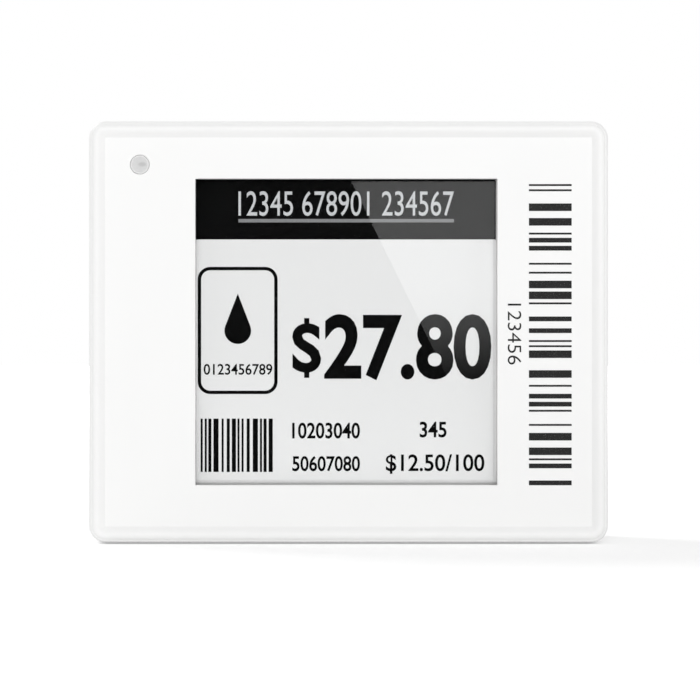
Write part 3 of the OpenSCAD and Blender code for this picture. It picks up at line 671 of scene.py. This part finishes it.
def frame_shape(box, radius, width, back):
    """A rounded rectangular line."""
    x0, x1, z0, z1 = box
    shape = bmesh.new()
    bmesh.ops.create_grid(shape, x_segments=1, y_segments=1, size=0.5)
    bmesh.ops.scale(shape, verts=shape.verts, vec=Vector(((x1 - x0) * MM, (z1 - z0) * MM, 1.0)))
    bmesh.ops.bevel(shape, geom=list(shape.verts), offset=radius * MM, segments=8, profile=0.5,
                    affect="VERTICES", material=-1)
    inner = list(shape.faces)
    bmesh.ops.inset_region(shape, faces=inner, thickness=width * MM, use_boundary=True,
                          use_even_offset=True)
    bmesh.ops.delete(shape, geom=inner, context="FACES_ONLY")
    return stand_up(shape, (x0 + x1) / 2, (z0 + z1) / 2, back)


def drop_shape(x, radius, bottom, tip, back):
    """A drop: a round with two straight sides that leave it for the tip."""
    shape = bmesh.new()
    bmesh.ops.create_circle(shape, cap_ends=True, segments=48, radius=radius * MM)
    height = tip - bottom - radius
    leave_z, leave_x = radius ** 2 / height, radius * math.sqrt(1 - (radius / height) ** 2)
    for vert in shape.verts:
        share = (vert.co.y / MM - leave_z) / (radius - leave_z)
        if share > 0:
            side = 0.0 if share > 0.999 else math.copysign(1 - share, vert.co.x)
            vert.co.x, vert.co.y = side * leave_x * MM, (leave_z + share * (height - leave_z)) * MM
    return stand_up(shape, x, bottom + radius, back)


# The display's image, between the film and the lens

black = screen_ink("screen_black", 0.0035)
light = screen_ink("screen_light", 0.66)
middle = screen_ink("screen_middle", 0.27)

# The band at the top reaches a little beyond the outermost pixels
band = bmesh.new()
add_slab(band, (LEFT - 0.13, RIGHT + 0.14, 8.56, TOP + 0.13), FILM_PRINT)
piece("header_band", band, black)

TITLE_LEFT, TITLE_RIGHT = -10.17, 9.75
title = bmesh.new()
add_digits(title, "12345 678901 234567", (TITLE_LEFT, TITLE_RIGHT, 10.73, 13.02), HEADER_PRINT, 0.002)
piece("header_digits", title, light)
line = bmesh.new()
add_slab(line, (TITLE_LEFT, TITLE_RIGHT, 10.13, 10.45), HEADER_PRINT)
piece("header_line", line, middle)

piece("drop_box", frame_shape((-13.93, -6.55, -5.73, 6.02), 1.15, 0.31, FILM_PRINT), black)
piece("drop_sign", drop_shape(-10.23, 1.23, -1.10, 3.55, FILM_PRINT), black)
caption = bmesh.new()
add_digits(caption, "0123456789", (-13.38, -7.04, -3.96, -2.94), FILM_PRINT, 0.012)
piece("drop_digits", caption, black)

# The price's sign is a bold S with a short stroke above it and one below it
PRICE_WEIGHT = 0.030
STROKE_LEFT, STROKE_RIGHT = -4.10, -3.62
price = bmesh.new()
add_digits(price, "S", (-5.20, -2.53, -3.75, 0.81), FILM_PRINT, PRICE_WEIGHT)
add_slab(price, (STROKE_LEFT, STROKE_RIGHT, 0.78, 1.29), FILM_PRINT)
add_slab(price, (STROKE_LEFT, STROKE_RIGHT, -4.23, -3.72), FILM_PRINT)
add_digits(price, "27.80", (-2.25, 13.20, -4.46, 1.66), FILM_PRINT, PRICE_WEIGHT)
piece("price_digits", price, black)

SMALL_WEIGHT = 0.018
small = bmesh.new()
add_digits(small, "10203040", (-5.20, 1.06, -9.85, -8.37), FILM_PRINT, SMALL_WEIGHT)
add_digits(small, "50607080", (-5.20, 1.06, -12.88, -11.45), FILM_PRINT, SMALL_WEIGHT)
add_digits(small, "345", (6.58, 9.06, -9.75, -8.28), FILM_PRINT, SMALL_WEIGHT)
add_digits(small, "$12.50/100", (3.45, 12.56, -13.10, -11.30), FILM_PRINT, 0.014)
piece("small_digits", small, black)

CODE_LEFT, CODE_WIDTH = -13.66, 6.66
code = bmesh.new()
for first, last in bar_run(14, (2, 3, 5, 2, 4, 2, 3), (2, 3, 1.5, 3, 2)):
    sides = (CODE_LEFT + CODE_WIDTH * first, CODE_LEFT + CODE_WIDTH * last)
    add_slab(code, (*sides, -12.93, -8.0), FILM_PRINT)
piece("screen_bars", code, black)

# Print on the flat face, beside the window

printed = face_ink()
stacked_bars("face_bars", bar_run(28, (2, 5, 8, 2, 5, 2, 8), (3.5, 7.5, 13, 3.5, 7.5)),
             (16.6, 20.53, -14.1, 13.6), FACE_PRINT, printed)
digits = bmesh.new()
add_digits(digits, "123456", (14.65, 15.9, -3.0, 2.6), FACE_PRINT, -0.006, turned=True)
piece("face_digits", digits, printed)

# Bars on the label at the back, in the middle of its width

label_low, label_high = span("rear_label")
middle_x, half_bar = (label_low.x + label_high.x) / 2, 2.6
stacked_bars("back_bars", bar_run(22, (1, 3, 1, 4, 2, 3, 1), (2, 1, 3, 1, 2)),
             (middle_x - half_bar, middle_x + half_bar, -8.5, 8.5),
             label_high.y + GAP + PRINT, printed)

# Finishes of the CAD nodes

dress("front_cover", moulded("white_shell", (0.955, 0.955, 0.95, 1.0), 0.42, 0.09, 0.004), 0.05)
dress("rear_cover", moulded("white_back", (0.94, 0.94, 0.935, 1.0), 0.5, 0.12, 0.006), 0.05)
dress("battery_cap", moulded("white_cap", (0.93, 0.93, 0.925, 1.0), 0.46, 0.12, 0.006), 0.06)
dress("display_lens", clear_lens())
dress("lens_tape", tape())
dress("light_pipe", frosted_pipe())
dress("display_gasket", gasket_foam())
dress("epaper_film", paper_film())
dress("display_glass", panel_glass())
dress("driver_chip", silicon())
dress("display_tail", flexible_tail())
dress("tail_stiffener", stiffener())
dress("foam_pad", pad_foam())
dress("carrier_frame", moulded("grey_carrier", (0.60, 0.61, 0.62, 1.0), 0.48, 0.1, 0.006), 0.05)
dress("main_board", green_board())
dress("board_screws", metal("screw_steel", (0.66, 0.66, 0.65, 1.0), 0.22), 0.03)
dress("tail_connector", moulded("cream_socket", (0.84, 0.80, 0.68, 1.0), 0.45, 0.07, 0.004), 0.02)
dress("connector_pins", metal("pin_gold", (0.86, 0.62, 0.24, 1.0), 0.2))
dress("connector_slider", moulded("brown_slider", (0.12, 0.07, 0.045, 1.0), 0.42, 0.07, 0.004), 0.02)
dress("radio_chip", package("radio_black", 0.022, "radio_chip", 0.75), 0.03)
dress("memory_chip", package("memory_black", 0.02, "memory_chip", 0.5), 0.03)
dress("crystals", metal("crystal_lid", (0.74, 0.73, 0.70, 1.0), 0.18, (1.0, 1.0, 0.1)), 0.04)
dress("boost_coil", ferrite(), 0.05)
dress("diodes", banded("diode_black", grey(0.02), grey(0.62), "diodes", 9.0, 2.6, 0.3), 0.04)
dress("small_parts",
      banded("chip_ends", (0.34, 0.22, 0.12, 1.0), grey(0.7), "small_parts", 1.4, 1.0, 0.22))
dress("status_led", lamp_body())
dress("antenna", metal("antenna_gold", (0.86, 0.62, 0.26, 1.0), 0.25))
spring = metal("spring_gold", (0.80, 0.60, 0.30, 1.0), 0.22, (0.15, 1.0, 1.0))
dress("negative_contact", spring)
dress("positive_contact", spring)
dress("cell_can", turned_steel())
dress("cell_lid", metal("lid_steel", (0.64, 0.635, 0.62, 1.0), 0.24, (1.0, 1.0, 0.2)))
dress("cell_core", pressed_powder())
dress("cell_seal", rubber("cell_seal", 0.10))
dress("housing_gasket", rubber("grey_rubber", 0.22))
dress("cap_o_ring", rubber("black_rubber", 0.022))
dress("rear_label", label_film())

# Floor, world and lights, whose sizes are in metres

floor_shape = bmesh.new()
bmesh.ops.create_grid(floor_shape, x_segments=1, y_segments=1, size=3.0,
                      matrix=Matrix.Translation((0, 0, cad_box[0].z - 0.02 * MM)))
floor_material, base = start("pale_floor")
seen = rays(base, "Camera", "Glossy", "Transmission")
matt = base.node("BsdfDiffuse", {}, {"Color": grey(0.92)})
away = base.node("VectorMath", {"operation": "LENGTH"}, {0: place(base)}, output="Value")
strength = seen * (0.3 + above(away, 0.3, 0.5))
glow = base.node("Emission", {}, {"Color": grey(1.0), "Strength": strength})
surface(base, base.node("AddShader", {}, {0: matt, 1: glow}))
floor = new_object("floor", floor_shape, floor_material)

world = bpy.data.worlds.new("studio")
bpy.context.scene.world = world
world.use_nodes = True
world.node_tree.nodes.clear()
sky = Sum(world.node_tree)
strength = 0.6 + 0.4 * rays(sky, "Camera", "Glossy", "Transmission")
shade = sky.node("Background", {}, {"Color": grey(1.0), "Strength": strength})
sky.node("OutputWorld", {}, {"Surface": shade})


def softbox(name, place_at, width, height, watts):
    """A lamp with a rectangular face that looks at the origin."""
    lamp = bpy.data.lights.new(name, "AREA")
    lamp.shape = "RECTANGLE"
    lamp.size, lamp.size_y = width, height
    lamp.energy = watts
    holder = bpy.data.objects.new(name, lamp)
    bpy.context.scene.collection.objects.link(holder)
    holder.location = place_at
    holder.rotation_mode = "QUATERNION"
    holder.rotation_quaternion = (-Vector(place_at)).to_track_quat("-Z", "Y")


softbox("front_box", (0.03, -0.80, 0.10), 0.55, 0.34, 2.31)
softbox("side_box", (0.6, -0.35, 0.2), 0.3, 0.4, 0.15)
softbox("back_box", (-0.50, 0.40, 0.60), 0.3, 0.2, 1.8)

# Camera of the photograph's view: it looks straight at one point of the front, and sees 64.4 mm
# across there

VIEW_WIDTH, LENS, SENSOR = 64.4, 150.0, 36.0
AIM_X, AIM_Z = 0.14, -1.66
EYE_AWAY = VIEW_WIDTH * LENS / SENSOR
camera = bpy.data.cameras.new("camera")
camera.lens, camera.sensor_width = LENS, SENSOR
camera.clip_start = 0.01
eye = bpy.data.objects.new("camera", camera)
bpy.context.scene.collection.objects.link(eye)
eye.location = Vector((AIM_X, FACE_Y - EYE_AWAY, AIM_Z)) * MM
eye.rotation_mode = "QUATERNION"
eye.rotation_quaternion = Vector((0, 1, 0)).to_track_quat("-Z", "Y")
bpy.context.scene.camera = eye


# Two cards before the lens that only reflections see: a dark one that covers the window, and a
# light one in front of it whose edge gives the slanted gleam


def card(name, corners, distance_off, level, fade=None):
    """A flat card in front of the lens. Its corners are places on the lens that it covers, as
    the camera sees them mirrored there. With fade, its light grows between two such heights."""
    reach = 1 + distance_off / EYE_AWAY
    shape = bmesh.new()
    verts = []
    for x, z in corners:
        at = (AIM_X + (x - AIM_X) * reach, FACE_Y - distance_off, AIM_Z + (z - AIM_Z) * reach)
        verts.append(shape.verts.new(Vector(at) * MM))
    shape.faces.new(verts)
    material, paint = start(name)
    strength = level
    if fade:
        low, high = fade
        height = (axis(paint, "Z") - AIM_Z) / reach + AIM_Z
        strength = level * above(height, (low + high) / 2, high - low)
    surface(paint, paint.node("Emission", {}, {"Color": grey(1.0), "Strength": strength}))
    made = new_object(name, shape, material)
    made.visible_camera = made.visible_diffuse = made.visible_shadow = False


CARD_LEFT, CARD_RIGHT, CARD_TOP = -14.6, 14.2, 14.6
card("dark_card", [(CARD_LEFT, -14.5), (CARD_RIGHT, -14.5), (CARD_RIGHT, CARD_TOP),
                   (CARD_LEFT, CARD_TOP)], 100.0, 0.0)
card("light_card", [(-0.1, CARD_TOP), (6.53, 1.10), (14.0, -14.2), (CARD_RIGHT, -14.2),
                    (CARD_RIGHT, CARD_TOP)], 95.0, 0.95, (-6.0, 5.0))

bpy.context.scene.view_settings.view_transform = "Standard"
